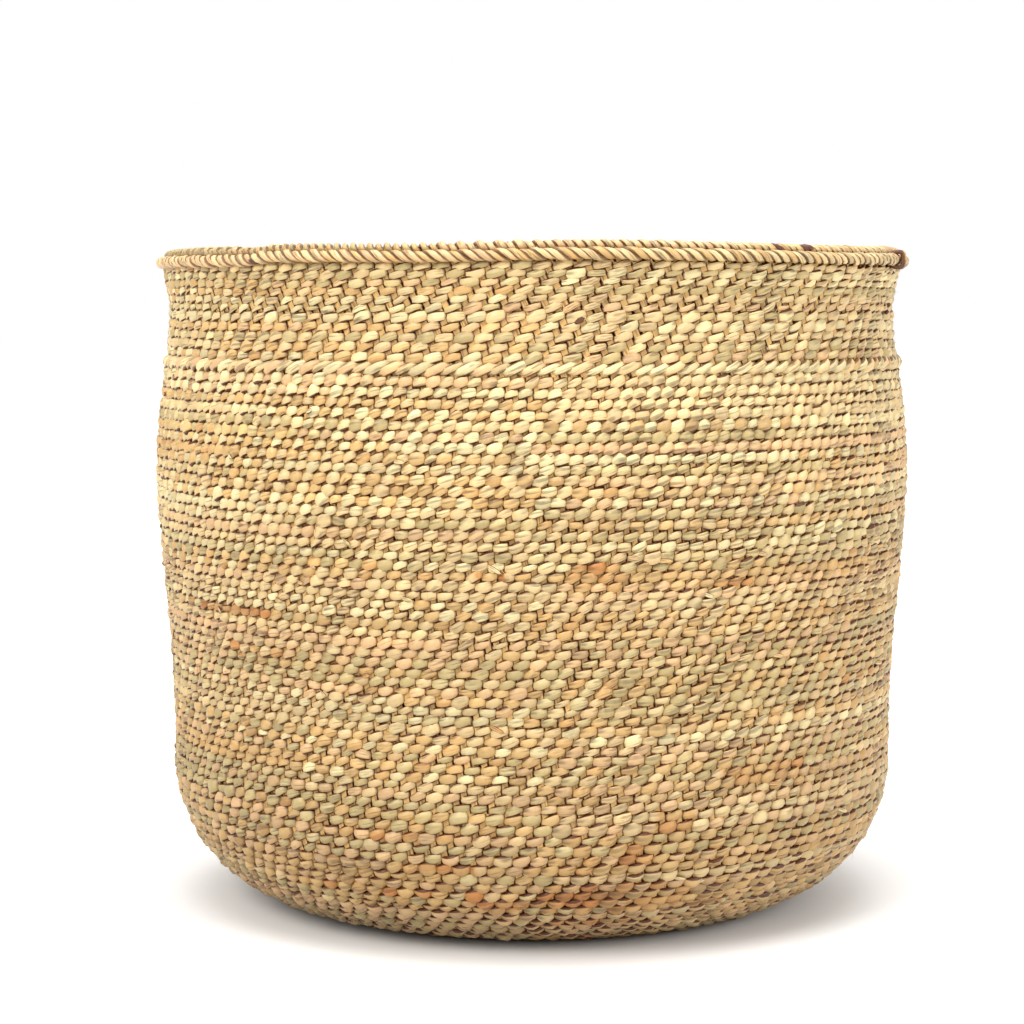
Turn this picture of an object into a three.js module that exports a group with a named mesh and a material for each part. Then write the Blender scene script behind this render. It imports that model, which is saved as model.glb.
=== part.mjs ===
// Large twined basket with a flat base, a bellied wall, an accent wale and a corded rim.
// Millimetres, +Z up. The origin is on the floor, under the middle of the base.
// Angles go round +Z from the front of the basket (-Y) towards its right-hand side (+X).
import * as THREE from 'three';

// Outer shape, measured on the outside of the weave
const BASKET_HEIGHT = 344;
const CORNER_RADIUS = 76;
const STRAIGHT_RISE = 20;
const BELLY_RADIUS = 200;
const BELLY_HEIGHT = 232;
const NECK_HEIGHT = 312;

// How far the wall stands inside the belly: below it, at the neck and at the lip
const LOWER_WALL_INSET = 8.5;
const NECK_INSET = 6.8;
const LIP_INSET = 4;

// Layers through the wall: a weft strand in front of each stake and one behind it
const OUTER_WEFT_THICKNESS = 3.5;
const INNER_WEFT_THICKNESS = 3.5;
const STAKE_THICKNESS = 3;
const STAKE_WIDTH = 3.2;
const SEAT_GAP = 0.3;

// Stakes: two bundles that cross under the middle of the base and fan out to the rim
const STAKES_PER_BUNDLE = 9;
const STAKE_SPACING_GAP = 0.5;
const LEVEL_OUT_LENGTH = 7;

// Weft: bands of courses between the start cross and the rim
const WEFT_START_GAP = 1;
const BASE_BANDS = 2;
const CORNER_BANDS = 2;
const CORNER_STEPS = 2;
const WALL_BANDS = 5;
const NECK_BANDS = 2;

// How far the middle of a band stands out from its drawn-in edges, on the corner, wall and neck
const COURSE_RELIEF = 1.6;

// Accent wale: one thicker row that marks the start of the neck
const WALE_HEIGHT = 285;
const WALE_ROW_HEIGHT = 6;
const WALE_BULGE = 1;

// Rim: a cord on each side of the stake tips and a third one over them
const SIDE_CORD_WIDTH = 7.5;
const SIDE_CORD_HEIGHT = 5.4;
const TOP_CORD_WIDTH = 12;
const TOP_CORD_HEIGHT = 3.6;
const CORD_FACETS = 8;

// Lashing: a dark strand tied over the rim, above one stake of the right-hand bundle
const LASHING_STAKE = 3;
const LASHING_WIDTH = 4;
const LASHING_THICKNESS = 1.2;
const LASHING_GAP = 0.5;
const LASHING_ARCH_STEPS = 8;

// Values that follow from the sizes above
const STAKE_ENDS = 4 * STAKES_PER_BUNDLE;
const STAKE_STEP = 2 * Math.PI / STAKE_ENDS;
const FIRST_RIGHT_STAKE = Math.PI / 4 + STAKE_STEP / 2;
const STAKE_PITCH = STAKE_WIDTH + STAKE_SPACING_GAP;
const STAKE_OUTER_DEPTH = OUTER_WEFT_THICKNESS + SEAT_GAP;
const STAKE_DEPTH = STAKE_OUTER_DEPTH + STAKE_THICKNESS / 2;
const STAKE_INNER_DEPTH = STAKE_OUTER_DEPTH + STAKE_THICKNESS;
const INNER_WEFT_DEPTH = STAKE_INNER_DEPTH + SEAT_GAP;
const WALL_THICKNESS = INNER_WEFT_DEPTH + INNER_WEFT_THICKNESS;
const LAYER_OFFSET = (STAKE_THICKNESS + SEAT_GAP) / 2;
const KNEE_RADIUS = STAKE_PITCH * (STAKES_PER_BUNDLE - 1) / 2
  / Math.sin(STAKE_STEP * (STAKES_PER_BUNDLE - 1) / 2);
const LEVEL_RADIUS = KNEE_RADIUS + LEVEL_OUT_LENGTH;
const WEFT_START_RADIUS = LEVEL_RADIUS + WEFT_START_GAP;
const LOWER_WALL_RADIUS = BELLY_RADIUS - LOWER_WALL_INSET;
const NECK_RADIUS = BELLY_RADIUS - NECK_INSET;
const LIP_RADIUS = BELLY_RADIUS - LIP_INSET;
const CORNER_CENTRE_RADIUS = LOWER_WALL_RADIUS - CORNER_RADIUS;
const SIDE_CORD_TOP = BASKET_HEIGHT - TOP_CORD_HEIGHT - SEAT_GAP;
const WALL_TOP = SIDE_CORD_TOP - SIDE_CORD_HEIGHT - SEAT_GAP;
const WALE_BOTTOM = WALE_HEIGHT - WALE_ROW_HEIGHT / 2;
const WALE_TOP = WALE_HEIGHT + WALE_ROW_HEIGHT / 2;

// Height over which the slope of the wall is taken
const SLOPE_SPAN = 1;

// Heights and radii between which the outside of the wall eases in and out
const WALL_SHAPE = [
  { height: CORNER_RADIUS + STRAIGHT_RISE, radius: LOWER_WALL_RADIUS },
  { height: BELLY_HEIGHT, radius: BELLY_RADIUS },
  { height: NECK_HEIGHT, radius: NECK_RADIUS },
  { height: WALL_TOP, radius: LIP_RADIUS },
];

const FINISHES = {
  outerWeft: { color: '#d9bf88', roughness: 0.75 },
  innerWeft: { color: '#cdb17a', roughness: 0.8 },
  stake: { color: '#c3a878', roughness: 0.8 },
  wale: { color: '#e2c998', roughness: 0.72 },
  rim: { color: '#e6d2a4', roughness: 0.72 },
  lashing: { color: '#5a3a20', roughness: 0.7 },
};

function namedMesh(name, geometry, finish) {
  const material = new THREE.MeshStandardMaterial({ ...finish, metalness: 0 });
  const mesh = new THREE.Mesh(geometry, material);
  mesh.name = name;
  return mesh;
}

// Outside radius of the wall at one height
function outerRadius(height) {
  let radius = WALL_SHAPE[0].radius;
  for (let i = 1; i < WALL_SHAPE.length; i += 1) {
    const low = WALL_SHAPE[i - 1];
    const high = WALL_SHAPE[i];
    const share = THREE.MathUtils.smoothstep(height, low.height, high.height);
    radius += (high.radius - low.radius) * share;
  }
  return radius;
}

// A station is a point of the outside profile with its outward normal
function baseStation(share) {
  const r = THREE.MathUtils.lerp(WEFT_START_RADIUS, CORNER_CENTRE_RADIUS, share);
  return { r, z: 0, normal: new THREE.Vector2(0, -1) };
}

function cornerStation(share) {
  const turn = share * Math.PI / 2;
  const normal = new THREE.Vector2(Math.sin(turn), -Math.cos(turn));
  return {
    r: CORNER_CENTRE_RADIUS + CORNER_RADIUS * normal.x,
    z: CORNER_RADIUS * (1 + normal.y),
    normal,
  };
}

function wallStation(low, high) {
  return (share) => {
    const z = THREE.MathUtils.lerp(low, high, share);
    const rise = outerRadius(z + SLOPE_SPAN / 2) - outerRadius(z - SLOPE_SPAN / 2);
    const slope = rise / SLOPE_SPAN;
    return { r: outerRadius(z), z, normal: new THREE.Vector2(1, -slope).normalize() };
  };
}

// The point that lies so far inside the outer surface, as radius and height
function sink(station, depth) {
  return new THREE.Vector2(
    station.r - depth * station.normal.x,
    station.z - depth * station.normal.y,
  );
}

// The same station moved along the profile, away from the start cross
function slide(station, distance) {
  return {
    ...station,
    r: station.r - distance * station.normal.y,
    z: station.z + distance * station.normal.x,
  };
}

function weftBands(stem, count, steps, stationAt) {
  const bands = [];
  for (let band = 0; band < count; band += 1) {
    const stations = [];
    for (let step = 0; step <= steps; step += 1) {
      stations.push(stationAt((band + step / steps) / count));
    }
    bands.push({ name: count > 1 ? `${stem}_${band + 1}` : stem, stations });
  }
  return bands;
}

const BASE = weftBands('base_weft', BASE_BANDS, 1, baseStation);
const CORNER = weftBands('corner_weft', CORNER_BANDS, CORNER_STEPS, cornerStation);
const WALL = weftBands('wall_weft', WALL_BANDS, 1, wallStation(CORNER_RADIUS, WALE_BOTTOM));
const WALE = weftBands('accent_wale', 1, 1, wallStation(WALE_BOTTOM, WALE_TOP));
const NECK = weftBands('neck_weft', NECK_BANDS, 1, wallStation(WALE_TOP, WALL_TOP));

// Every stake runs through the same stations as the weft that holds it
const STAKE_ROUTE = [...CORNER, ...WALL, ...WALE, ...NECK]
  .flatMap((band) => band.stations.slice(1));

// A ring turned from a closed profile, with a facet edge at every stake
function ring(name, profile, finish) {
  const geometry = new THREE.LatheGeometry(profile, STAKE_ENDS, FIRST_RIGHT_STAKE);
  geometry.rotateX(Math.PI / 2);
  return namedMesh(name, geometry, finish);
}

// One face of a layer: its two edges lie deeper than the rest by the relief, or less deep if that is negative
function face(stations, depth, relief) {
  const last = stations.length - 1;
  const points = stations.map((station, number) => {
    const edge = number === 0 || number === last;
    return sink(station, edge ? depth + relief : depth);
  });
  if (last === 1 && relief !== 0) {
    const middle = points[0].clone().lerp(points[1], 0.5);
    middle.x += relief;
    points.splice(1, 0, middle);
  }
  return points;
}

// The outer and the inner layer of a band of courses, with half a seat gap at each of its two edges
function weftPair(band, finish, outerDepth, outerRelief, innerRelief) {
  const first = slide(band.stations[0], SEAT_GAP / 2);
  const last = slide(band.stations[band.stations.length - 1], -SEAT_GAP / 2);
  const trimmed = [first, ...band.stations.slice(1, -1), last];
  const outside = face(trimmed, outerDepth, outerRelief);
  const outerBack = face(trimmed, OUTER_WEFT_THICKNESS, 0).reverse();
  const innerBack = face(trimmed, INNER_WEFT_DEPTH, 0);
  const inside = face(trimmed, WALL_THICKNESS, -innerRelief).reverse();
  return [
    ring(`outer_${band.name}`, [...outside, ...outerBack, outside[0]], finish),
    ring(`inner_${band.name}`, [...innerBack, ...inside, innerBack[0]], FINISHES.innerWeft),
  ];
}

// The four corners of a flat strip, as shares of its half-widths
const STRIP_CORNERS = [[1, 1], [-1, 1], [-1, -1], [1, -1]];

// A flat strip through a row of cross-sections, each given by its middle and two half-widths
function strip(name, sections, finish) {
  const positions = [];
  for (const { middle, across, through } of sections) {
    for (const [side, face] of STRIP_CORNERS) {
      const corner = middle.clone().addScaledVector(across, side).addScaledVector(through, face);
      positions.push(...corner);
    }
  }
  const sides = STRIP_CORNERS.length;
  const end = (sections.length - 1) * sides;
  const faces = [];
  for (let start = 0; start < end; start += sides) {
    for (let side = 0; side < sides; side += 1) {
      const a = start + side;
      const b = start + (side + 1) % sides;
      faces.push(a, b, b + sides, a, b + sides, a + sides);
    }
  }
  for (let corner = 1; corner + 1 < sides; corner += 1) {
    faces.push(0, corner + 1, corner);
    faces.push(end, end + corner, end + corner + 1);
  }
  const geometry = new THREE.BufferGeometry();
  geometry.setAttribute('position', new THREE.Float32BufferAttribute(positions, 3));
  geometry.setIndex(faces);
  geometry.computeVertexNormals();
  return namedMesh(name, geometry, finish);
}

function polar(radius, angle, height) {
  return new THREE.Vector3(radius * Math.sin(angle), -radius * Math.cos(angle), height);
}

// Half a stake, from its knee at the edge of the start cross out to its tip inside the rim
function halfStake(angle, bend, level, sideways) {
  const radial = polar(1, angle, 0);
  const across = new THREE.Vector3(-radial.y, radial.x, 0).multiplyScalar(sideways * STAKE_WIDTH / 2);
  const up = new THREE.Vector3(0, 0, STAKE_THICKNESS / 2);
  const kneeRadius = bend === 0 ? STAKE_PITCH / STAKE_STEP
    : STAKE_PITCH * bend / STAKE_STEP / Math.sin(bend);
  const mitre = across.clone()
    .applyAxisAngle(new THREE.Vector3(0, 0, 1), -sideways * bend / 2)
    .divideScalar(Math.cos(bend / 2));
  const sections = [
    { middle: polar(kneeRadius, angle, STAKE_DEPTH + level), across: mitre, through: up },
    { middle: polar(LEVEL_RADIUS, angle, STAKE_DEPTH), across, through: up },
    { middle: polar(CORNER_CENTRE_RADIUS, angle, STAKE_DEPTH), across, through: up },
  ];
  for (const station of STAKE_ROUTE) {
    const { x, y } = sink(station, STAKE_DEPTH);
    const through = radial.clone().multiplyScalar(-station.normal.x);
    through.z = -station.normal.y;
    through.multiplyScalar(STAKE_THICKNESS / 2);
    sections.push({ middle: polar(x, angle, y), across, through });
  }
  const last = sections[sections.length - 1];
  const tip = last.middle.clone();
  tip.z = SIDE_CORD_TOP - Math.abs(last.through.z);
  sections.push({ ...last, middle: tip });
  return sections;
}

// A whole stake: both halves of it, joined by its straight run across the start cross
function stake(name, direction, number, level) {
  const bend = (number - (STAKES_PER_BUNDLE - 1) / 2) * STAKE_STEP;
  const near = halfStake(direction + bend, bend, level, 1);
  const far = halfStake(direction + Math.PI - bend, bend, level, -1);
  return strip(name, [...far.reverse(), ...near], FINISHES.stake);
}

function cord(name, middleRadius, middleHeight, width, height) {
  const section = new THREE.EllipseCurve(middleRadius, middleHeight, width / 2, height / 2);
  return ring(name, section.getPoints(CORD_FACETS), FINISHES.rim);
}

const LIP = wallStation(WALE_TOP, WALL_TOP)(1);
const OUTER_CORD_RADIUS = sink(LIP, STAKE_OUTER_DEPTH).x + SEAT_GAP + SIDE_CORD_WIDTH / 2;
const INNER_CORD_RADIUS = sink(LIP, STAKE_INNER_DEPTH).x - SEAT_GAP - SIDE_CORD_WIDTH / 2;
const RIM_RADIUS = sink(LIP, STAKE_DEPTH).x;
const SIDE_CORD_MIDDLE = SIDE_CORD_TOP - SIDE_CORD_HEIGHT / 2;

function rimCords() {
  const topMiddle = BASKET_HEIGHT - TOP_CORD_HEIGHT / 2;
  return [
    cord('rim_outer_cord', OUTER_CORD_RADIUS, SIDE_CORD_MIDDLE, SIDE_CORD_WIDTH, SIDE_CORD_HEIGHT),
    cord('rim_inner_cord', INNER_CORD_RADIUS, SIDE_CORD_MIDDLE, SIDE_CORD_WIDTH, SIDE_CORD_HEIGHT),
    cord('rim_top_cord', RIM_RADIUS, topMiddle, TOP_CORD_WIDTH, TOP_CORD_HEIGHT),
  ];
}

// The lashing arches over all three cords and its legs end beside the lower edge of the side cords
function rimLashing() {
  const reach = (OUTER_CORD_RADIUS - INNER_CORD_RADIUS + SIDE_CORD_WIDTH) / 2 + LASHING_GAP;
  const rise = BASKET_HEIGHT - SIDE_CORD_MIDDLE + LASHING_GAP;
  const middle = (OUTER_CORD_RADIUS + INNER_CORD_RADIUS) / 2;
  const foot = SIDE_CORD_MIDDLE - SIDE_CORD_HEIGHT / 2;
  const outerReach = reach + LASHING_THICKNESS;
  const outline = new THREE.Shape();
  outline.moveTo(middle + outerReach, foot);
  outline.lineTo(middle + outerReach, SIDE_CORD_MIDDLE);
  outline.absellipse(middle, SIDE_CORD_MIDDLE, outerReach, rise + LASHING_THICKNESS, 0, Math.PI, false);
  outline.lineTo(middle - outerReach, foot);
  outline.lineTo(middle - reach, foot);
  outline.lineTo(middle - reach, SIDE_CORD_MIDDLE);
  outline.absellipse(middle, SIDE_CORD_MIDDLE, reach, rise, Math.PI, 0, true);
  outline.lineTo(middle + reach, foot);
  outline.closePath();
  const geometry = new THREE.ExtrudeGeometry(outline, {
    depth: LASHING_WIDTH,
    curveSegments: LASHING_ARCH_STEPS,
    bevelEnabled: false,
  });
  geometry.translate(0, 0, -LASHING_WIDTH / 2);
  geometry.rotateX(Math.PI / 2);
  const lashing = namedMesh('rim_lashing', geometry, FINISHES.lashing);
  lashing.rotation.z = FIRST_RIGHT_STAKE + (LASHING_STAKE - 1) * STAKE_STEP - Math.PI / 2;
  return lashing;
}

const basket = new THREE.Group();
for (let number = 0; number < STAKES_PER_BUNDLE; number += 1) {
  basket.add(stake(`stake_across_${number + 1}`, Math.PI / 2, number, -LAYER_OFFSET));
  basket.add(stake(`stake_along_${number + 1}`, 0, number, LAYER_OFFSET));
}
for (const band of BASE) {
  basket.add(...weftPair(band, FINISHES.outerWeft, 0, 0, 0));
}
for (const band of [...CORNER, ...WALL, ...NECK]) {
  basket.add(...weftPair(band, FINISHES.outerWeft, 0, COURSE_RELIEF, COURSE_RELIEF));
}
for (const band of WALE) {
  basket.add(...weftPair(band, FINISHES.wale, -WALE_BULGE, WALE_BULGE, 0));
}
basket.add(...rimCords());
basket.add(rimLashing());

export default basket;
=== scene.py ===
"""Weaves a large reed basket around its construction frame and sets up the view of it.

Everything is in metres, +Z up, with the origin on the floor under the middle of the base.
Angles go round +Z from the front of the basket (-Y) towards its right-hand side (+X).
"""
from collections import namedtuple
from math import atan2, cos, hypot, inf, pi, radians, sin, tanh, tau

import bmesh
import bpy
import numpy as np
from bpy.props import FloatProperty, FloatVectorProperty, IntProperty, PointerProperty
from mathutils import Matrix, Vector


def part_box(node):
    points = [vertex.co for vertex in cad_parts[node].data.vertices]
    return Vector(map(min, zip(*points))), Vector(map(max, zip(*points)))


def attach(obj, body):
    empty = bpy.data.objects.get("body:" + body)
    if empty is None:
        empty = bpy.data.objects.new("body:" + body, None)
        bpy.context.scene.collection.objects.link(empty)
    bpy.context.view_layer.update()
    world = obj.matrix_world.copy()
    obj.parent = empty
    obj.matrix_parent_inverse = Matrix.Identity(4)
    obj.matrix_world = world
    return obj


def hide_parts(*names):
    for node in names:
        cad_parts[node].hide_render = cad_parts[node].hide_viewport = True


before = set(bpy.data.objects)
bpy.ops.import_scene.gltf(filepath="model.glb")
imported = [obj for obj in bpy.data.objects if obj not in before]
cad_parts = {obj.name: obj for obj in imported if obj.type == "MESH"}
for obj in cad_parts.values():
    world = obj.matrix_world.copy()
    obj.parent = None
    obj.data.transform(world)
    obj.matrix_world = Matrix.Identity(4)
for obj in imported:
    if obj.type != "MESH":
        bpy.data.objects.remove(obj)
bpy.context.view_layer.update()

bl_info = {
    "name": "Twined Reed Basket",
    "version": (1, 0, 0),
    "blender": (4, 5, 0),
    "location": "View3D > Sidebar > Basket",
    "description": "Weaves a large reed basket around its construction frame",
    "category": "Add Mesh",
}

MM = 0.001
BODY = "root"

# Heights and radii that the frame already holds, and the middles of the rim's cords
WALL_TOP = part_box("outer_neck_weft_2")[1].z
WALE_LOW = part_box("outer_accent_wale")[0].z
WALE_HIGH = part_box("outer_accent_wale")[1].z
FOOT_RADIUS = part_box("outer_corner_weft_2")[1].z
LOWER_WALL_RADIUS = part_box("outer_wall_weft_1")[1].x
SIDE_CORD_MIDDLE = sum(corner.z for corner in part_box("rim_outer_cord")) / 2
TOP_CORD_MIDDLE = sum(corner.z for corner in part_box("rim_top_cord")) / 2
OUTER_CORD_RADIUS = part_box("rim_outer_cord")[1].x - 3.4 * MM
INNER_CORD_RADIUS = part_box("rim_inner_cord")[1].x - 3.75 * MM
TOP_CORD_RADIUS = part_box("rim_top_cord")[1].x - 6 * MM

# Reed tones, in the order of the stops of the palette
TONES = ("rust", "golden", "peach", "straw", "bleached", "olive")
TONE_MIXES = {
    "base": (0.01, 0.30, 0.16, 0.33, 0.08, 0.12),
    "foot": (0.08, 0.30, 0.23, 0.17, 0.03, 0.19),
    "lower": (0.04, 0.27, 0.20, 0.25, 0.07, 0.17),
    "upper": (0.005, 0.21, 0.13, 0.345, 0.18, 0.13),
    "neck": (0.005, 0.17, 0.12, 0.375, 0.18, 0.15),
    "pale": (0.0, 0.12, 0.22, 0.44, 0.22, 0.0),
    "border": (0.04, 0.34, 0.26, 0.20, 0.02, 0.14),
}

# Woven bands from the start cross up: courses and stitches of each zone, how far a course
# leads the one below it (as a share of a stitch), and the mix of reed tones
Band = namedtuple("Band", "piece node courses stitches lead mix")
BASE_BANDS = (
    Band("base_weave_1", "base_weft_1", (3, 3, 3), (32, 44, 56), 0.40, "base"),
    Band("base_weave_2", "base_weft_2", (3, 3, 3), (66, 78, 88), 0.40, "base"),
)
FOOT_BANDS = (
    Band("foot_weave_1", "corner_weft_1", (4, 4, 3), (98, 110, 122), 0.40, "foot"),
    Band("foot_weave_2", "corner_weft_2", (5, 6), (130, 138), 0.40, "foot"),
)
WALL_BANDS = (
    Band("wall_weave_1", "wall_weft_1", (9,), (144,), 0.40, "lower"),
    Band("wall_weave_2", "wall_weft_2", (9,), (150,), 0.40, "lower"),
    Band("wall_weave_3", "wall_weft_3", (9,), (160,), 0.41, "upper"),
    Band("wall_weave_4", "wall_weft_4", (8,), (172,), 0.42, "upper"),
    Band("wall_weave_5", "wall_weft_5", (8,), (184,), 0.43, "upper"),
)
NECK_BANDS = (
    Band("neck_weave_1", "neck_weft_1", (5,), (130,), 0.30, "neck"),
    Band("neck_weave_2", "neck_weft_2", (6,), (130,), 0.30, "neck"),
)
Zone = namedtuple("Zone", "low high courses stitches lead")

# One turn of a twining strand, in degrees: six points in front of the stakes, two behind
TURN_STEPS = np.radians((-86, -61, -22, 22, 61, 86, 138, 222))
IN_FRONT = np.cos(TURN_STEPS) > 0

# The form of a stitch, and of the strand between two stitches, and how short the painted shade at a
# stitch's ends is
STITCH_SQUARENESS = 2.0
STITCH_SKEW = 0.5 * MM
TUCKED_SIZE = 0.7
END_SHADE_SHORTNESS = 1.9

# How far single stitches differ
ALONG_SPREAD = 0.055
OUT_SPREAD = 0.22 * MM
CLIMB_SPREAD = 0.32
HEIGHT_SPREAD = 0.2 * MM
SIZE_SPREAD = 0.1
TURN_SPREAD = 0.2

# The reeds along a strand
WEFT_REED_STITCHES = (8, 26)
CORD_REED_STITCHES = (5, 18)
RUSTY_REED_STITCHES = (2, 6)
REED_WIDTHS = (0.78, 1.18)
RUST_TONES = 0.2
TONE_SPREAD = 0.022
REED_SHADE_SPREAD = 0.065
STITCH_SHADE_SPREAD = 0.075

# Below this height the weave lies flat on the floor
FLAT_BASE = 2 * MM

# The cross-section of a strand and its two UV maps
SIDES = 8
SECTION_POWER = 2.2
STRAND_VALUES = ("tone", "shade", "dusk")
FIBRE_UV = "Fibre"
BAKE_UV = "OFBake"
BAKE_ROW_LENGTH = 0.42
BAKE_END_MARGIN = 0.004
BAKE_ROW_MARGIN = 0.08
BAKE_RING_MARGIN = 0.02

# Stakes behind the stitches
BENT_STAKE_POINTS = 5
STRAIGHT_STAKE_POINTS = 3
STAKE_SPREAD = 0.2 * MM
COURSES_UNDER_WALE = 1.4
RIM_STAKE_LENGTH = 7 * MM

# The start cross: its reeds lie straight over the middle, then fan out to their ends
CROSS_REEDS = 16
CROSS_PITCH = 2.05 * MM
CROSS_STRAIGHT = np.array((3, 9, 15, 19)) * MM
CROSS_FAN = np.array((28, 33, 34)) * MM
CROSS_EDGE = 33 * MM
CROSS_SLOPE = 12 * MM
CROSS_LIFT = 1.3 * MM

# Loose ends on the outside, and how they taper
CUT_ENDS = 130
STRAY_FIBRES = 110
LOOSE_END_DEPTH = 2.2 * MM
LOWEST_LOOSE_END = 25 * MM
CUT_TAPER = (0, 0.9, 1, 1, 0.85, 0)
FIBRE_TAPER = (0, 1, 1, 0.9, 0.8, 0.6, 0.4, 0)
SLIVER_TAPER = (0, 0.9, 1, 1, 0.8, 0)

# How the reed darkens towards the foot: partly painted shade, as the light falls from above, and partly
# soil where the foot stands on the ground
SHADE_AND_GRIME_HEIGHTS = (0, 50 * MM, 100 * MM, 180 * MM, 260 * MM)
SHADE_AND_GRIME_LEVELS = (0.68, 0.75, 0.82, 0.89, 0.97)

# Runs of reddish reed on the outside: angle from the front and half the run in degrees,
# height in mm and strength; they show on rows this close, as a share of the row pitch
RUSTY_RUNS = (
    (27.5, 4.5, 184, 1.0), (7.5, 2.5, 189, 0.9), (-50, 9, 164.5, 1.0), (36, 8, 90.5, 1.0),
    (-14, 6, 47, 0.8), (21, 3, 70, 0.8), (16, 3, 54, 0.8), (24, 9, 28, 0.8),
    (2, 12, 29.5, 0.7), (-5.5, 2, 188, 0.6),
)
RUSTY_REACH = 0.8

# Cords of strands laid round each other: their reach outwards and upwards, and their tucked side, where
# they lie against the rest and take painted shade, as an angle from outwards to upwards
Cord = namedtuple("Cord", "name strands radius height reach turns hand width thickness mix tucked")
RIM_CORDS = (
    Cord("rim_outer_cord", 3, OUTER_CORD_RADIUS, SIDE_CORD_MIDDLE, (1.7 * MM, 1.5 * MM), 75, -1,
         3.3 * MM, 3.0 * MM, "pale", pi),
    Cord("rim_inner_cord", 3, INNER_CORD_RADIUS, SIDE_CORD_MIDDLE, (1.6 * MM, 1.5 * MM), 72, 1,
         3.3 * MM, 3.0 * MM, "neck", 0),
    Cord("rim_top_cord", 2, TOP_CORD_RADIUS, TOP_CORD_MIDDLE - 1.2 * MM, (3.2 * MM, 1.6 * MM), 135, -1,
         3.7 * MM, 3.2 * MM, "border", -pi / 2),
)
WALE_INSET = 3.6 * MM
WALE_ROLL = 0.3
CORD_TURN_STEPS = 8
CORD_SHADE = 0.96
CORD_PAINTED_SHADE = 0.2

# The rim's splice and dark patches: their angles from the front, and how deep and dark they are. The
# dark patch at the splice is painted shadow of the hole under its step.
RIM_SPLICE = radians(-42)
RIM_SPLICE_STEP = 1.5 * MM
RIM_DARK_PATCHES = (radians(37), radians(43))
RIM_PATCH_SPAN = radians(1.6)
PATCH_BROWN = 0.9
PATCH_SHADE = 0.6

# The loops of the lashing
LASHING_LOOPS = 3
LASHING_POINTS = 32
LASHING_PITCH = 1.9 * MM
LASHING_SHIFT = 1.5 * MM
LASHING_REACH = (2.5 * MM, 3.9 * MM)
LASHING_ROUNDNESS = 0.6
LASHING_LEAN = 0.005

# Kinds of reed: the colours of the palette, the roughness, the shares of the colours, and how brown
# the painted shade on a strand's edges is. The cords' own shape shades them, so they take less of it,
# stakes are dry fibre, and the lashing's bark is worn.
Reed = namedtuple("Reed", "name colours roughness shares fold_depth", defaults=[(1,), 1.0])
WEFT_REED = Reed("Sun-dried reed", TONES, 0.44)
TWISTED_REED = Reed("Twisted reed", TONES, 0.44, fold_depth=0.8)
STAKE_REED = Reed("Split reed", ("stake",), 0.62, (0.7, 0.85, 1.0, 1.12))
BARK_REED = Reed("Bark-brown reed", ("bark",), 0.58, (0.7, 1.0, 1.5))
LASHING_REED = Reed("Worn bark reed", ("bark", "rust", "straw"), 0.58)

# The marks on a reed's skin, and the brown of these marks and of the painted shade on its edges and
# tucked places
FIBRE_LENGTH = 12 * MM
WEAR_LENGTH = 14 * MM
DRIFT_LENGTH = 45 * MM
MARK_LENGTH = 9 * MM
MARK_AND_SHADE_BROWN = "#562800"

# The stage
FLOOR_DROP = 0.2 * MM
FLOOR_REACH = 20
FLOOR_SHADOW = (0.126, 0.3)
SOFT_LIGHT = 0.31
LAMP_AIM = Vector((0, 0, 0.17))
LAMPS = (
    ("key_softbox", (-1.4, -1.85, 1.8), 1.4, 48), ("fill_softbox", (1.9, -1.6, 1.2), 1.3, 25),
    ("top_softbox", (0, -0.5, 2.2), 1.8, 33), ("back_softbox", (0.5, 2.2, 1.3), 1.6, 14),
)


def to_linear(hex_colour):
    """Turns an sRGB hex colour into the linear values that a shader takes."""
    channels = [int(hex_colour[i:i + 2], 16) / 255 for i in (1, 3, 5)]
    return [c / 12.92 if c <= 0.04045 else ((c + 0.055) / 1.055) ** 2.4 for c in channels]


def length(name, description, default):
    """A property that holds a real length."""
    return FloatProperty(name=name, description=description, default=default,
                         min=0.0, precision=5, subtype="DISTANCE", unit="LENGTH")


def colour(name, description, hex_colour):
    """A property that holds a colour, written as sRGB hex."""
    return FloatVectorProperty(name=name, description=description, subtype="COLOR", size=3,
                               min=0.0, max=1.0, default=to_linear(hex_colour))


class BasketShape(bpy.types.PropertyGroup):
    """The outside of the basket, as its frame has it."""

    foot_radius: length("Foot radius", "Radius of the rounded foot", FOOT_RADIUS)
    lower_wall_radius: length("Lower wall radius", "Radius above the foot", LOWER_WALL_RADIUS)
    straight_rise: length("Straight rise", "Upright stretch above the foot", 20 * MM)
    belly_radius: length("Belly radius", "Widest radius of the wall", 200 * MM)
    belly_height: length("Belly height", "Height of the widest place", 232 * MM)
    neck_radius: length("Neck radius", "Narrowest radius under the rim", 193.2 * MM)
    neck_height: length("Neck height", "Height of the narrowest place", 312 * MM)
    lip_radius: length("Lip radius", "Radius of the wall's upper edge", 196 * MM)
    cross_radius: length("Start cross radius", "Where the first weft course lies", 31 * MM)
    wall_depth: length("Wall middle depth", "From the outside to the middle of the wall", 5.1 * MM)
    sway: length("Sway", "How far the hand-made wall strays from round", 0.8 * MM)
    neck_pinch: length("Neck pinch", "How far the right side of the neck is drawn in", 1.4 * MM)


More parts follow.
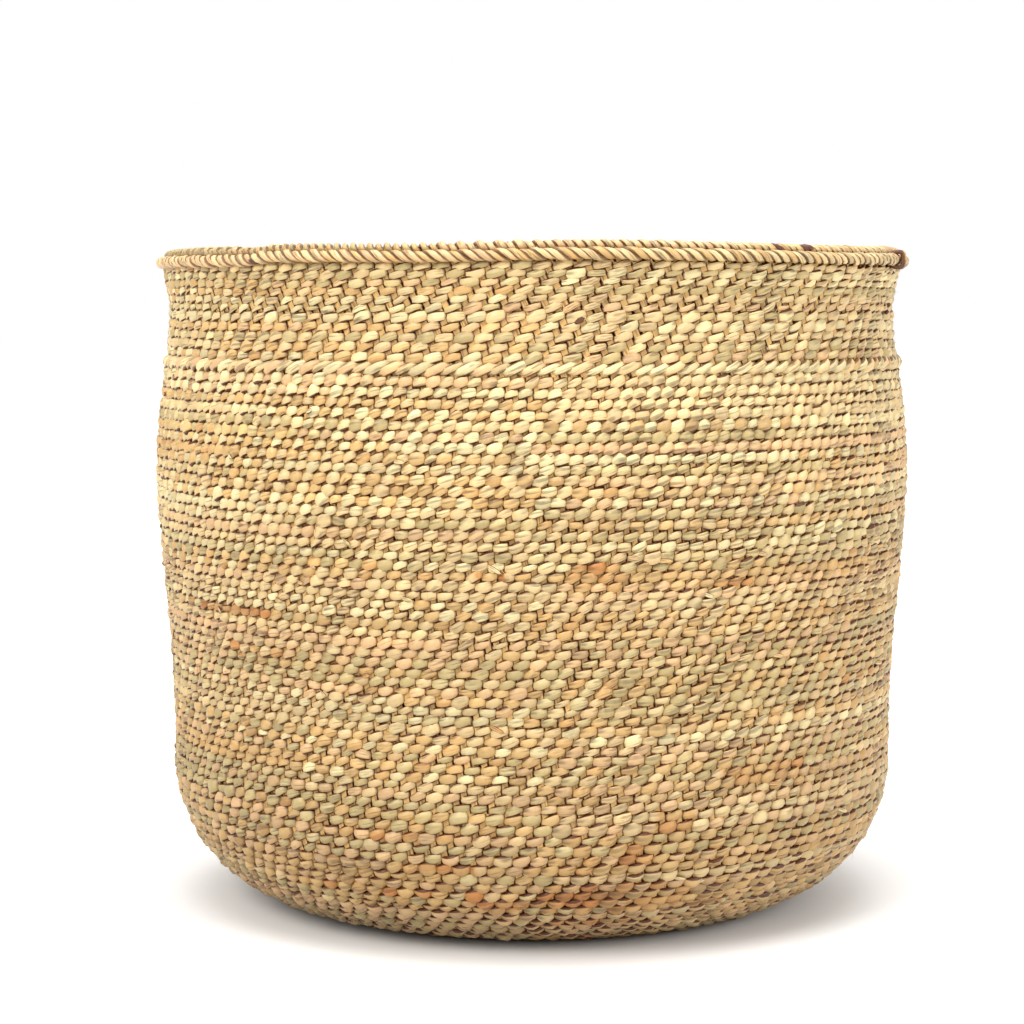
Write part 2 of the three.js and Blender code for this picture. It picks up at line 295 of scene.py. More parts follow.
class ReedWeave(bpy.types.PropertyGroup):
    """The strands of the weave."""

    strand_width: length("Strand width", "Height of a stitch at a row pitch of 5 mm", 5.7 * MM)
    strand_thickness: length("Strand thickness", "Depth of a stitch", 3.6 * MM)
    stitch_bulge: length("Stitch bulge", "How far a strand swings out from the wall's middle", 3.4 * MM)
    stitch_rise: length("Stitch rise", "How far a stitch climbs above its row", 1.05 * MM)
    row_pitch: length("Row pitch", "Pitch at which a strand has its full width", 5.0 * MM)
    row_wander: length("Row wander", "How far rows stray up and down", 0.7 * MM)
    stake_share: FloatProperty(name="Stake share", description="Stake width as a share of its spacing",
                               default=0.8, min=0.1, max=1.0, subtype="FACTOR")
    stake_thickness: length("Stake thickness", "Depth of a wall stake", 5.4 * MM)
    stake_depth: length("Stake depth", "From the outside to the middle of a stake", 4.9 * MM)
    seed: IntProperty(name="Seed", description="Start of the random draws", default=11)


class ReedColours(bpy.types.PropertyGroup):
    """The colours of the reed and of the floor."""

    rust: colour("Rust", "Reddish lengths near the foot of a reed", "#cf8b48")
    peach: colour("Peach", "Pinkish tan lengths", "#ebc08b")
    golden: colour("Golden", "Ripe yellow-brown lengths", "#e0b978")
    straw: colour("Straw", "The common dry straw colour", "#ebcc92")
    bleached: colour("Bleached", "Lengths bleached by the sun", "#f7e3ab")
    olive: colour("Olive", "Lengths cut green", "#cdb47a")
    stake: colour("Stake", "Split stakes behind the stitches", "#d9ad6a")
    bark: colour("Bark", "Dark skin left on a strand", "#5e3819")
    floor: colour("Floor", "Plain pale floor", "#dcdad7")


# One reed strand: its middle line with a size, a turn, a tone, a shade and a darkening at every point.
# The shade is the reed's own brightness, with painted shade towards the foot, and the darkening how far
# it turns brown: painted shade where it is tucked away, and dark patches on the rim.
Strand = namedtuple("Strand", "points size turn tone shade dusk closed", defaults=[True])


def wrapped(angle):
    """The same angle, between half a turn back and half a turn on from the front."""
    return np.mod(angle + pi, tau) - pi


def ring_points(r, angle, z):
    """Points at a radius, an angle from the front and a height."""
    return np.stack((r * np.sin(angle), -r * np.cos(angle), z), axis=-1)


class Profile:
    """The outside of the basket as a line that runs from the middle of the base up to the rim."""

    STEP = 0.25 * MM
    BEND_STEPS = 400
    OVERRUN = 12 * MM
    PINCH_ANGLE = 0.55
    PINCH_HEIGHT = 24 * MM

    def __init__(self, shape):
        self.shape = shape
        self.foot_start = shape.lower_wall_radius - shape.foot_radius
        flat = np.arange(0, self.foot_start, self.STEP)
        bend = np.linspace(0, pi / 2, self.BEND_STEPS, endpoint=False)
        rise = np.arange(shape.foot_radius, WALL_TOP + self.OVERRUN, self.STEP)
        self.r = np.concatenate((flat, self.foot_start + shape.foot_radius * np.sin(bend),
                                 self.wall_radius(rise)))
        self.z = np.concatenate((0 * flat, shape.foot_radius * (1 - np.cos(bend)), rise))
        steps = np.hypot(np.diff(self.r), np.diff(self.z))
        self.s = np.concatenate(([0], np.cumsum(steps)))
        self.out_r = np.gradient(self.z, self.s)
        self.out_z = -np.gradient(self.r, self.s)

    def wall_radius(self, z):
        """Outside radius of the wall at a height."""
        shape = self.shape
        stops = ((shape.foot_radius + shape.straight_rise, shape.lower_wall_radius),
                 (shape.belly_height, shape.belly_radius),
                 (shape.neck_height, shape.neck_radius),
                 (WALL_TOP, shape.lip_radius))
        radius = np.full_like(z, shape.lower_wall_radius)
        for (low, before), (high, after) in zip(stops, stops[1:]):
            share = np.clip((z - low) / (high - low), 0, 1)
            radius += (after - before) * share * share * (3 - 2 * share)
        return radius

    def at_height(self, z):
        """Length along the line at which the foot or wall reaches a height."""
        above = self.s > self.foot_start
        return float(np.interp(z, self.z[above], self.s[above]))

    def height(self, s):
        """Height above the floor at a length along the line."""
        return np.interp(s, self.s, self.z)

    def stray(self, angle, z):
        """How far the hand-made wall stands out from the true round."""
        shape = self.shape
        waves = 0.6 * np.sin(2 * angle + 1.1) + 0.4 * np.sin(3 * angle - 0.4 + 6 * z)
        right = np.exp(-((angle - pi / 2) / self.PINCH_ANGLE) ** 2)
        neck = np.exp(-((z - shape.neck_height) / self.PINCH_HEIGHT) ** 2)
        return shape.sway * waves * z / WALL_TOP - shape.neck_pinch * right * neck

    def points(self, angle, s, depth, true_round=False):
        """Points at an angle and a length along the line, so deep inside the outside."""
        r = np.interp(s, self.s, self.r) - depth * np.interp(s, self.s, self.out_r)
        z = np.interp(s, self.s, self.z) - depth * np.interp(s, self.s, self.out_z)
        r = r if true_round else r + self.stray(wrapped(angle), z)
        return ring_points(r, angle, z)

    def lean(self, s):
        """Angle between the outside and the upright, zero on an upright wall."""
        return np.arctan2(np.interp(s, self.s, self.out_z), np.interp(s, self.s, self.out_r))


def random_draws(name):
    """Random draws of a piece's own, the same in every run."""
    return np.random.default_rng([bpy.context.scene.reed_weave.seed, *name.encode()])


def reed_lengths(count, mix, stitches, draws):
    """Tone, width and shade of the reeds that follow each other along a strand of so many turns."""
    tone, width, shade = np.empty((3, count))
    start = 0
    while start < count:
        pick = draws.choice(len(TONES), p=TONE_MIXES[mix])
        rusty = TONES[pick] == "rust"
        stop = min(count, start + draws.integers(*(RUSTY_REED_STITCHES if rusty else stitches)))
        tone[start:stop] = pick / (len(TONES) - 1)
        if rusty:
            tone[start:stop] += draws.uniform(0, RUST_TONES, stop - start)
        width[start:stop] = draws.uniform(*REED_WIDTHS)
        shade[start:stop] = draws.normal(1.0, REED_SHADE_SPREAD)
        start = stop
    tone = np.clip(tone + draws.normal(0, TONE_SPREAD, count), 0, 1)
    return tone, width, shade * draws.normal(1.0, STITCH_SHADE_SPREAD, count)


def redden(tone, angle, height, pitch, draws):
    """Tones of a row's points with the reddish runs that lie on its height."""
    for place, half, level, strength in RUSTY_RUNS:
        if abs(height - level * MM) < RUSTY_REACH * pitch:
            inside = np.abs(wrapped(angle) - radians(place)) < radians(half)
            stitch = np.repeat(draws.uniform(0, 1, len(tone) // len(TURN_STEPS)), len(TURN_STEPS))
            tone = np.where(inside & (stitch < strength), RUST_TONES * stitch, tone)
    return tone


def row_wander(angle, height, draws):
    """Slow ups and downs of a row, nearly the same as in the rows next to it."""
    shared = np.sin(3 * angle + 40 * height) + 0.8 * np.sin(5 * angle - 65 * height + 1.3)
    own = np.sin(draws.integers(6, 12) * angle + draws.uniform(0, 6))
    return 0.42 * shared + 0.2 * own


def twining_strand(profile, zone, course, side, draws, mix):
    """One of the two strands of a course: it passes in front of two stakes, then behind two."""
    weave = bpy.context.scene.reed_weave
    turns = zone.stitches // 2
    steps = len(TURN_STEPS)
    pitch = (zone.high - zone.low) / zone.courses
    middle = zone.low + (course + 0.5) * pitch
    swing = np.tile(TURN_STEPS, turns)
    front = np.tile(IN_FRONT, turns)
    facing = np.cos(swing)
    level = np.abs(facing)
    shown = np.maximum(facing, 0)

    def per_stitch(centre, spread):
        """A draw for each stitch in front of the stakes and each one behind them."""
        return np.where(front, *np.repeat(draws.normal(centre, spread, (2, turns)), steps, axis=1))

    whole = np.repeat(np.arange(turns), steps) * tau
    angle = (whole + swing + side * pi + zone.lead * pi * course) / turns
    angle = angle + per_stitch(0, ALONG_SPREAD) * level * pi / turns
    reach = np.tanh(STITCH_SQUARENESS * facing) / tanh(STITCH_SQUARENESS)
    out = weave.stitch_bulge * reach + per_stitch(0, OUT_SPREAD) * level
    out = out + STITCH_SKEW * np.sin(swing) * shown
    rise = weave.stitch_rise * np.sin(swing) * per_stitch(1, CLIMB_SPREAD)
    rise = rise + per_stitch(0, HEIGHT_SPREAD) * level
    s = middle + rise + weave.row_wander * row_wander(angle, middle, draws)
    tone, width, shade = reed_lengths(turns, mix, WEFT_REED_STITCHES, draws)
    grown = TUCKED_SIZE + (1 - TUCKED_SIZE) * level ** 0.7
    size = grown * np.repeat(width, steps) * per_stitch(1, SIZE_SPREAD) * pitch / weave.row_pitch
    # Painted shade browns each stitch's ends, where the strand dives behind the stakes
    dusk = 1 - np.minimum(1, END_SHADE_SHORTNESS * level)
    height = profile.height(s)
    tone = redden(np.repeat(tone, steps), angle, profile.height(middle), pitch, draws)
    # The shade darkens towards the foot: partly painted shade of the light from above, partly soil
    shade = np.repeat(shade, steps) * np.interp(height, SHADE_AND_GRIME_HEIGHTS, SHADE_AND_GRIME_LEVELS)
    turn = profile.lean(s) + per_stitch(0, TURN_SPREAD) * shown * (height > FLAT_BASE)
    depth = profile.shape.wall_depth - out
    depth = np.where(height < FLAT_BASE, np.maximum(depth, size * weave.strand_thickness / 2), depth)
    return Strand(profile.points(angle, s, depth), size, turn, tone, shade, dusk)


def place_object(name, data):
    """Puts a mesh, a curve, a lamp or a camera into the scene."""
    item = bpy.data.objects.new(name, data)
    bpy.context.scene.collection.objects.link(item)
    return item


def as_mesh(name, shell):
    """Turns a finished bmesh into a mesh."""
    mesh = bpy.data.meshes.new(name)
    shell.to_mesh(mesh)
    shell.free()
    return mesh


def store_values(mesh, name, values):
    """Keeps a value for every point of a mesh, for its material to read."""
    layer = mesh.attributes.new(name, "FLOAT", "POINT")
    layer.data.foreach_set("value", values.astype(np.float32))


def store_uvs(mesh, fibre, bake):
    """Keeps the two UV maps of a mesh: one runs along the fibres, the other keeps all faces apart."""
    for name, places in ((FIBRE_UV, fibre), (BAKE_UV, bake)):
        layer = mesh.uv_layers.new(name=name)
        layer.uv.foreach_set("vector", places.astype(np.float32).ravel())


def section_outline(width, thickness):
    """A plump flattened oval, drawn clockwise so that a strand's faces point outwards."""
    curve = bpy.data.curves.new("strand_section", "CURVE")
    curve.dimensions = "2D"
    spline = curve.splines.new("POLY")
    spline.points.add(SIDES - 1)
    for number, point in enumerate(spline.points):
        turn = -tau * number / SIDES
        x, y = cos(turn), sin(turn)
        plump = (abs(x) ** SECTION_POWER + abs(y) ** SECTION_POWER) ** (-1 / SECTION_POWER)
        point.co = (x * plump * thickness / 2, y * plump * width / 2, 0, 1)
    spline.use_cyclic_u = True
    return place_object("strand_section", curve)


def strand_piece(name, strands, width, thickness, twist="Z_UP"):
    """Sweeps strands with one cross-section and makes them a mesh piece with tones and fibre UVs."""
    outline = section_outline(width, thickness)
    curve = bpy.data.curves.new(name, "CURVE")
    curve.dimensions = "3D"
    curve.twist_mode = twist
    curve.bevel_mode = "OBJECT"
    curve.bevel_object = outline
    for strand in strands:
        spline = curve.splines.new("POLY")
        spline.points.add(len(strand.points) - 1)
        places = np.column_stack((strand.points, np.ones(len(strand.points))))
        spline.points.foreach_set("co", places.astype(np.float32).ravel())
        spline.points.foreach_set("radius", strand.size.astype(np.float32))
        spline.points.foreach_set("tilt", -strand.turn.astype(np.float32))
        spline.use_cyclic_u = strand.closed
    sweep = place_object(name + "_sweep", curve)
    view = bpy.context.evaluated_depsgraph_get()
    mesh = bpy.data.meshes.new_from_object(sweep.evaluated_get(view))
    mesh.name = name
    for spare in (sweep, outline):
        data = spare.data
        bpy.data.objects.remove(spare)
        bpy.data.curves.remove(data)
    for key in STRAND_VALUES:
        values = np.concatenate([getattr(strand, key) for strand in strands])
        store_values(mesh, key, np.repeat(values, SIDES))
    lay_out_strands(mesh, strands)
    if not all(strand.closed for strand in strands):
        merge_points(mesh)
    mesh.shade_smooth()
    return place_object(name, mesh)


def merge_points(mesh):
    """Closes the pointed ends of open strands."""
    shell = bmesh.new()
    shell.from_mesh(mesh)
    bmesh.ops.remove_doubles(shell, verts=shell.verts, dist=0.001 * MM)
    shell.to_mesh(mesh)
    shell.free()


def lengths_along(strand):
    """Length along a strand at each of its points, and back at the first one if it is closed."""
    points = np.vstack((strand.points, strand.points[:1])) if strand.closed else strand.points
    return np.concatenate(([0], np.cumsum(np.linalg.norm(np.diff(points, axis=0), axis=1))))


def lay_out_strands(mesh, strands):
    """Gives swept strands their UV maps: metres along each strand, and rows of strands for baking."""
    counts = [len(strand.points) for strand in strands]
    lengths = [lengths_along(strand) for strand in strands]
    spans = [len(steps) - 1 for steps in lengths]
    rows = [max(1, round(steps[-1] / BAKE_ROW_LENGTH)) for steps in lengths]
    first_point = np.cumsum([0] + counts)
    first_length = np.cumsum([0] + [len(steps) for steps in lengths])
    first_row = np.cumsum([0] + rows)
    face_strand = np.repeat(np.arange(len(strands)), np.multiply(spans, SIDES))
    face_point = np.concatenate([np.repeat(np.arange(span), SIDES) for span in spans])
    face_side = np.tile(np.mod(np.arange(SIDES) - 1, SIDES), sum(spans))
    corner = np.empty(len(mesh.loops), np.int32)
    mesh.loops.foreach_get("vertex_index", corner)
    owner = np.repeat(np.arange(len(face_strand)), 4)
    strand = face_strand[owner]
    points = np.array(counts)[strand]
    point = corner // SIDES - first_point[strand]
    along = face_point[owner] + np.mod(point - face_point[owner], points)
    around = (face_side[owner] + np.mod(corner % SIDES - face_side[owner], SIDES)) / SIDES
    metres = np.concatenate(lengths)[first_length[strand] + along]
    row_points = np.ceil(np.array(spans) / np.array(rows)).astype(int)[strand]
    row = face_point[owner] // row_points
    across_row = BAKE_END_MARGIN + (1 - 2 * BAKE_END_MARGIN) * (along - row * row_points) / row_points
    up_row = first_row[strand] + row + BAKE_ROW_MARGIN + (1 - 2 * BAKE_ROW_MARGIN) * around
    while mesh.uv_layers:
        mesh.uv_layers.remove(mesh.uv_layers[0])
    bake = np.column_stack((across_row, up_row / first_row[-1]))
    store_uvs(mesh, np.column_stack((metres, around)), bake)


def band_edges(profile):
    """Where each woven band starts and ends along the profile, by the name of its nodes."""
    shape = profile.shape
    foot_end = profile.at_height(shape.foot_radius)
    stretches = ((BASE_BANDS, shape.cross_radius, profile.foot_start),
                 (FOOT_BANDS, profile.foot_start, foot_end),
                 (WALL_BANDS, foot_end, profile.at_height(WALE_LOW)),
                 (NECK_BANDS, profile.at_height(WALE_HIGH), profile.at_height(WALL_TOP)))
    edges = {}
    for bands, low, high in stretches:
        for number, band in enumerate(bands):
            span = (high - low) / len(bands)
            edges[band.node] = (low + number * span, low + (number + 1) * span)
    return edges


def band_zones(band, edges):
    """The zones of a band, each a run of courses with one number of stitches."""
    low, high = edges[band.node]
    pitch = (high - low) / sum(band.courses)
    zones = []
    for courses, stitches in zip(band.courses, band.stitches):
        zones.append(Zone(low, low + courses * pitch, courses, stitches, band.lead))
        low += courses * pitch
    return zones


def weave_bands(bands):
    """Weaves all the courses of each band as one piece in place of its outer and inner layer."""
    scene = bpy.context.scene
    weave = scene.reed_weave
    profile = Profile(scene.basket_shape)
    edges = band_edges(profile)
    for band in bands:
        draws = random_draws(band.piece)
        strands = [twining_strand(profile, zone, course, side, draws, band.mix)
                   for zone in band_zones(band, edges)
                   for course in range(zone.courses) for side in range(2)]
        piece = strand_piece(band.piece, strands, weave.strand_width, weave.strand_thickness)
        dress(piece, WEFT_REED, "outer_weft", f"outer_{band.node}", f"inner_{band.node}")


def dress(piece, reed, slot, *nodes):
    """Gives a piece the material of its reed and ties it to the frame."""
    piece.data.materials.clear()
    piece.data.materials.append(sun_dried(reed))
    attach(piece, BODY)
    if nodes:
        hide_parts(*nodes)


def add_node(tree, kind, links=None, **options):
    """Adds a shader node with its settings, and sets or links its inputs."""
    node = tree.nodes.new(kind)
    for name, value in options.items():
        setattr(node, name, value)
    for name, source in (links or {}).items():
        if isinstance(source, bpy.types.NodeSocket):
            tree.links.new(source, node.inputs[name])
        else:
            node.inputs[name].default_value = source
    return node


def calculated(tree, operation, first, second=0.0, **options):
    """One or two values after a sum, a product or another calculation."""
    node = add_node(tree, "ShaderNodeMath", {0: first, 1: second}, operation=operation, **options)
    return node.outputs["Value"]


def remapped(tree, value, low, high, start=0.0, end=1.0, **options):
    """A value between two limits, spread from a start to an end."""
    node = add_node(tree, "ShaderNodeMapRange", {
        "Value": value, "From Min": low, "From Max": high, "To Min": start, "To Max": end}, **options)
    return node.outputs["Result"]


def reed_noise(tree, uv, run, around, detail=1.0, shift=(0, 0, 0)):
    """Noise along a reed, with patches of so long a run and so many of them around it."""
    place = add_node(tree, "ShaderNodeMapping", {
        "Vector": uv, "Location": shift, "Scale": (1 / run, around, 1)})
    noise = add_node(tree, "ShaderNodeTexNoise", {
        "Vector": place.outputs["Vector"], "Scale": 1.0, "Detail": detail}, noise_dimensions="2D")
    return noise.outputs["Fac"]


def new_material(name):
    """A node material without nodes."""
    material = bpy.data.materials.new(name)
    material.use_nodes = True
    material.node_tree.nodes.clear()
    return material


def sun_dried(reed):
    """The material of a reed, dried in the sun: a smooth satin skin, worn to the fibre here and there.

    The eye sees one tone per reed, paler and darker stitches with painted shade towards the foot, fibre
    lines on a few of them, a few brown marks, painted shade in brown on the edges and tucked places, and
    a soft sheen on the swell of each stitch.
    """
    if reed.name in bpy.data.materials:
        return bpy.data.materials[reed.name]
    colours = bpy.context.scene.reed_colours
    palette = [Vector(getattr(colours, name)) * share for name in reed.colours for share in reed.shares]
    material = new_material(reed.name)
    tree = material.node_tree
    uv = add_node(tree, "ShaderNodeUVMap", uv_map=FIBRE_UV).outputs["UV"]
    tone, shade, dusk = [add_node(tree, "ShaderNodeAttribute", attribute_name=key).outputs["Fac"]
                         for key in STRAND_VALUES]

    # The reed's tone, drifting a little along it
    drift = remapped(tree, reed_noise(tree, uv, DRIFT_LENGTH, 1.5), 0.3, 0.7, -0.06, 0.06)
    picked = calculated(tree, "ADD", tone, drift, use_clamp=True)
    ramp = add_node(tree, "ShaderNodeValToRGB", {"Fac": picked})
    stops = ramp.color_ramp.elements
    while len(stops) < len(palette):
        stops.new(0.5)
    for number, value in enumerate(palette):
        stops[number].position = number / (len(palette) - 1)
        stops[number].color = (*value, 1)

    # Fibre lines, deep only where the skin is worn
    wear = reed_noise(tree, uv, WEAR_LENGTH, 0.6, detail=0.0, shift=(3.1, 7.7, 0))
    deepest = remapped(tree, wear, 0.48, 0.64, 0.97, 0.5)
    streaks = remapped(tree, reed_noise(tree, uv, FIBRE_LENGTH, 9), 0.38, 0.54, deepest, 1.01)
    tinted = add_node(tree, "ShaderNodeVectorMath", {
        "Vector": ramp.outputs["Color"], "Scale": calculated(tree, "MULTIPLY", streaks, shade)},
        operation="SCALE")

    # Brown marks, and painted shade in brown on the edges and tucked places
    marks = remapped(tree, reed_noise(tree, uv, MARK_LENGTH, 5), 0.68, 0.78, 0.0, 0.5)
    side = add_node(tree, "ShaderNodeSeparateXYZ", {"Vector": uv})
    around = calculated(tree, "MULTIPLY", side.outputs["Y"], tau)
    flat = calculated(tree, "ABSOLUTE", calculated(tree, "COSINE", around))
    painted_edge_shade = remapped(tree, flat, 0.46, 0.66, reed.fold_depth, 0.0, interpolation_type="SMOOTHSTEP")
    hidden = calculated(tree, "MAXIMUM", remapped(tree, dusk, 0.08, 0.5), painted_edge_shade)
    marked_and_shaded = add_node(tree, "ShaderNodeMix", {
        "Factor": calculated(tree, "MAXIMUM", marks, hidden), "A": tinted.outputs["Vector"],
        "B": (*to_linear(MARK_AND_SHADE_BROWN), 1)}, data_type="RGBA")
    skin = add_node(tree, "ShaderNodeBsdfPrincipled", {
        "Base Color": marked_and_shaded.outputs["Result"], "Roughness": reed.roughness, "IOR": 1.5})
    add_node(tree, "ShaderNodeOutputMaterial", {"Surface": skin.outputs["BSDF"]})
    return material


def cross_reed(turned, place, draws):
    """One reed of the start cross: straight over the middle, then fanned to its share of the quarter."""
    depth = bpy.context.scene.basket_shape.wall_depth
    fan = place * pi / 2 / CROSS_REEDS
    half = [(x, place * CROSS_PITCH) for x in CROSS_STRAIGHT]
    half += [(r * cos(fan), r * sin(fan)) for r in CROSS_FAN]
    flat = np.array([(-x, y) for x, y in reversed(half)] + half)
    lift = np.clip((CROSS_EDGE - np.hypot(*flat.T)) / CROSS_SLOPE, 0, 1) * CROSS_LIFT
    flat = np.column_stack((-flat[:, 1], flat[:, 0])) if turned else flat
    points = np.column_stack((flat, depth + (lift if turned else -lift)))
    even = np.ones(len(points))
    size = draws.uniform(0.9, 1.08) * even
    size[[0, -1]] = 0
    tone = draws.uniform(0, 1) * even
    shade = draws.uniform(0.8, 1) * even
    return Strand(points, size, -pi / 2 * even, tone, shade, 0 * even, closed=False)


class BASKET_OT_start_cross(bpy.types.Operator):
    """Cross the two bundles of reeds that the basket is started from"""

    bl_idname = "basket.start_cross"
    bl_label = "Start cross"

    def execute(self, context):
        draws = random_draws("start_cross")
        reeds = [cross_reed(turned, number - (CROSS_REEDS - 1) / 2, draws)
                 for turned in (False, True) for number in range(CROSS_REEDS)]
        dress(strand_piece("start_cross", reeds, 1.9 * MM, 2.4 * MM), STAKE_REED, "stake")
        return {"FINISHED"}


def loose_end(profile, angle, height, span, slope, rise, size, tone, shade=1.0):
    """A free end of reed on the outside: it leaves the weave and ends so far out from it."""
    run = np.linspace(0, 1, len(size))
    s = profile.at_height(height) + run * span * sin(slope)
    radius = np.interp(s, profile.s, profile.r)
    depth = LOOSE_END_DEPTH * (1 - run) ** 2 - rise * run ** 1.5
    points = profile.points(angle + run * span * cos(slope) / radius, s, depth)
    even = np.ones(len(size))
    return Strand(points, np.array(size), profile.lean(s), tone * even, shade * even, 0 * even,
                  closed=False)


class BASKET_OT_loose_ends(bpy.types.Operator):
    """Leave the cut ends, stray fibres and the dark sliver of the hand-made weave"""

    bl_idname = "basket.loose_ends"
    bl_label = "Loose ends"

    def execute(self, context):
        profile = Profile(context.scene.basket_shape)
        draws = random_draws("loose_ends")
        tails = [loose_end(
            profile, draws.uniform(-pi, pi), draws.uniform(LOWEST_LOOSE_END, WALE_LOW),
            draws.uniform(5, 9) * MM, draws.uniform(-0.5, 0.4), draws.uniform(0.1, 0.9) * MM,
            CUT_TAPER, draws.uniform(0.1, 1), draws.uniform(0.8, 1.05)) for _ in range(CUT_ENDS)]
        hairs = [loose_end(
            profile, draws.uniform(-pi, pi), draws.uniform(LOWEST_LOOSE_END, WALL_TOP),
            draws.uniform(6, 18) * MM, draws.uniform(-1.5, 1.5), draws.uniform(0.5, 5) * MM,
            FIBRE_TAPER, draws.uniform(0.4, 0.9)) for _ in range(STRAY_FIBRES)]
        dress(strand_piece("cut_ends", tails, 2.3 * MM, 0.9 * MM), WEFT_REED, "outer_weft")
        dress(strand_piece("stray_fibres", hairs, 0.25 * MM, 0.2 * MM), WEFT_REED, "outer_weft")
        sliver = loose_end(profile, radians(5), 306 * MM, 8 * MM, 0.3, 0.5 * MM, SLIVER_TAPER, 0.6)
        dress(strand_piece("dark_sliver", [sliver], 3.2 * MM, 1.0 * MM), BARK_REED, "lashing")
        return {"FINISHED"}


class BASKET_OT_base(bpy.types.Operator):
    """Weave the flat base around the start cross"""

    bl_idname = "basket.base"
    bl_label = "Base"

    def execute(self, context):
        weave_bands(BASE_BANDS)
        return {"FINISHED"}


class BASKET_OT_foot(bpy.types.Operator):
    """Weave the rounded foot between the base and the wall"""

    bl_idname = "basket.foot"
    bl_label = "Foot"

    def execute(self, context):
        weave_bands(FOOT_BANDS)
        return {"FINISHED"}


class BASKET_OT_wall(bpy.types.Operator):
    """Weave the bellied wall up to the accent wale"""

    bl_idname = "basket.wall"
    bl_label = "Wall"

    def execute(self, context):
        weave_bands(WALL_BANDS)
        return {"FINISHED"}


class BASKET_OT_neck(bpy.types.Operator):
    """Weave the neck between the accent wale and the rim"""

    bl_idname = "basket.neck"
    bl_label = "Neck"

    def execute(self, context):
        weave_bands(NECK_BANDS)
        return {"FINISHED"}


def one_stake(profile, zone, below):
    """Sweeps a flat stake up through a zone, from so many courses below it.

    Gives its mesh, and where its corners lie along and across.
    """
    weave = bpy.context.scene.reed_weave
    drift = (zone.lead - 0.5) * tau / zone.stitches
    pitch = (zone.high - zone.low) / zone.courses
    bent = zone.low < profile.at_height(FOOT_RADIUS)
    spacing = pi / zone.stitches
    shell = bmesh.new()
    marks = {}
    end = before = None
    for course in np.linspace(-0.5 - below, zone.courses - 0.5,
                              BENT_STAKE_POINTS if bent else STRAIGHT_STAKE_POINTS):
        s = zone.low + (course + 0.5) * pitch
        angle = spacing / 2 + drift * course
        middle = Vector(profile.points(angle, s, weave.stake_depth, true_round=True))
        slope = float(profile.lean(s))
        out = Vector((sin(angle) * cos(slope), -cos(angle) * cos(slope), sin(slope)))
        across = Vector((cos(angle), sin(angle), 0))
        turn = Matrix((across, out, across.cross(out))).transposed()
        place = Matrix.Translation(middle) @ turn.to_4x4()
        if end is None:
            width = weave.stake_share * spacing * hypot(middle.x, middle.y)
            size = Matrix.Diagonal((width, weave.stake_thickness, 1, 1))
            tip = bmesh.ops.create_grid(shell, x_segments=1, y_segments=1, size=0.5,
                                        matrix=place @ size)["verts"]
            end = tip[0].link_faces[0]
        else:
            grown = bmesh.ops.extrude_face_region(shell, geom=[end],
                                                  use_keep_orig=len(marks) == 4)["geom"]
            tip = [item for item in grown if isinstance(item, bmesh.types.BMVert)]
            bmesh.ops.transform(shell, matrix=place @ before.inverted(), verts=tip)
            end = next(item for item in grown if isinstance(item, bmesh.types.BMFace))
        marks.update({vert: (s, (place.inverted() @ vert.co).x / width) for vert in tip})
        before = place
    bmesh.ops.recalc_face_normals(shell, faces=shell.faces)
    corners = np.array([marks[loop.vert] for face in shell.faces for loop in face.loops])
    return as_mesh("stake", shell), corners


def stake_ring(profile, zone, draws, below=0):
    """Repeats a stake all round, two to a stitch; gives the ring's mesh and its tones and UVs."""
    stake, corners = one_stake(profile, zone, below)
    count = 2 * zone.stitches
    ring = bmesh.new()
    ring.from_mesh(stake)
    bmesh.ops.spin(ring, geom=[*ring.verts, *ring.edges, *ring.faces], cent=(0, 0, 0), axis=(0, 0, 1),
                   dvec=(0, 0, 0), angle=tau * (count - 1) / count, steps=count - 1,
                   use_duplicate=True)
    tone = np.repeat(draws.uniform(0, 1, count), len(stake.vertices))
    shift = np.repeat(draws.normal(0, STAKE_SPREAD, count), len(stake.vertices))
    for vert, sideways in zip(ring.verts, shift):
        angle = atan2(vert.co.x, -vert.co.y)
        radius = hypot(vert.co.x, vert.co.y)
        angle += sideways / radius
        radius += float(profile.stray(angle, vert.co.z)) + sideways / 2
        vert.co = (radius * sin(angle), -radius * cos(angle), vert.co.z)
    bpy.data.meshes.remove(stake)
    turned = np.repeat(np.arange(count), len(corners))
    along = np.tile(corners[:, 0], count)
    across = np.tile(corners[:, 1], count)
    # Every stake has its own place on the fibre map, so that no two look alike
    # The share across also sets how far in from each edge the painted shade of a stake reaches
    fibre = np.column_stack((along + 0.013 * turned, turned + 0.36 * across))
    up = (along - along.min()) / np.ptp(along)
    bake = np.column_stack(((turned + 0.5 + 0.8 * across) / count, up))
    return as_mesh("stake_ring", ring), tone, fibre, bake


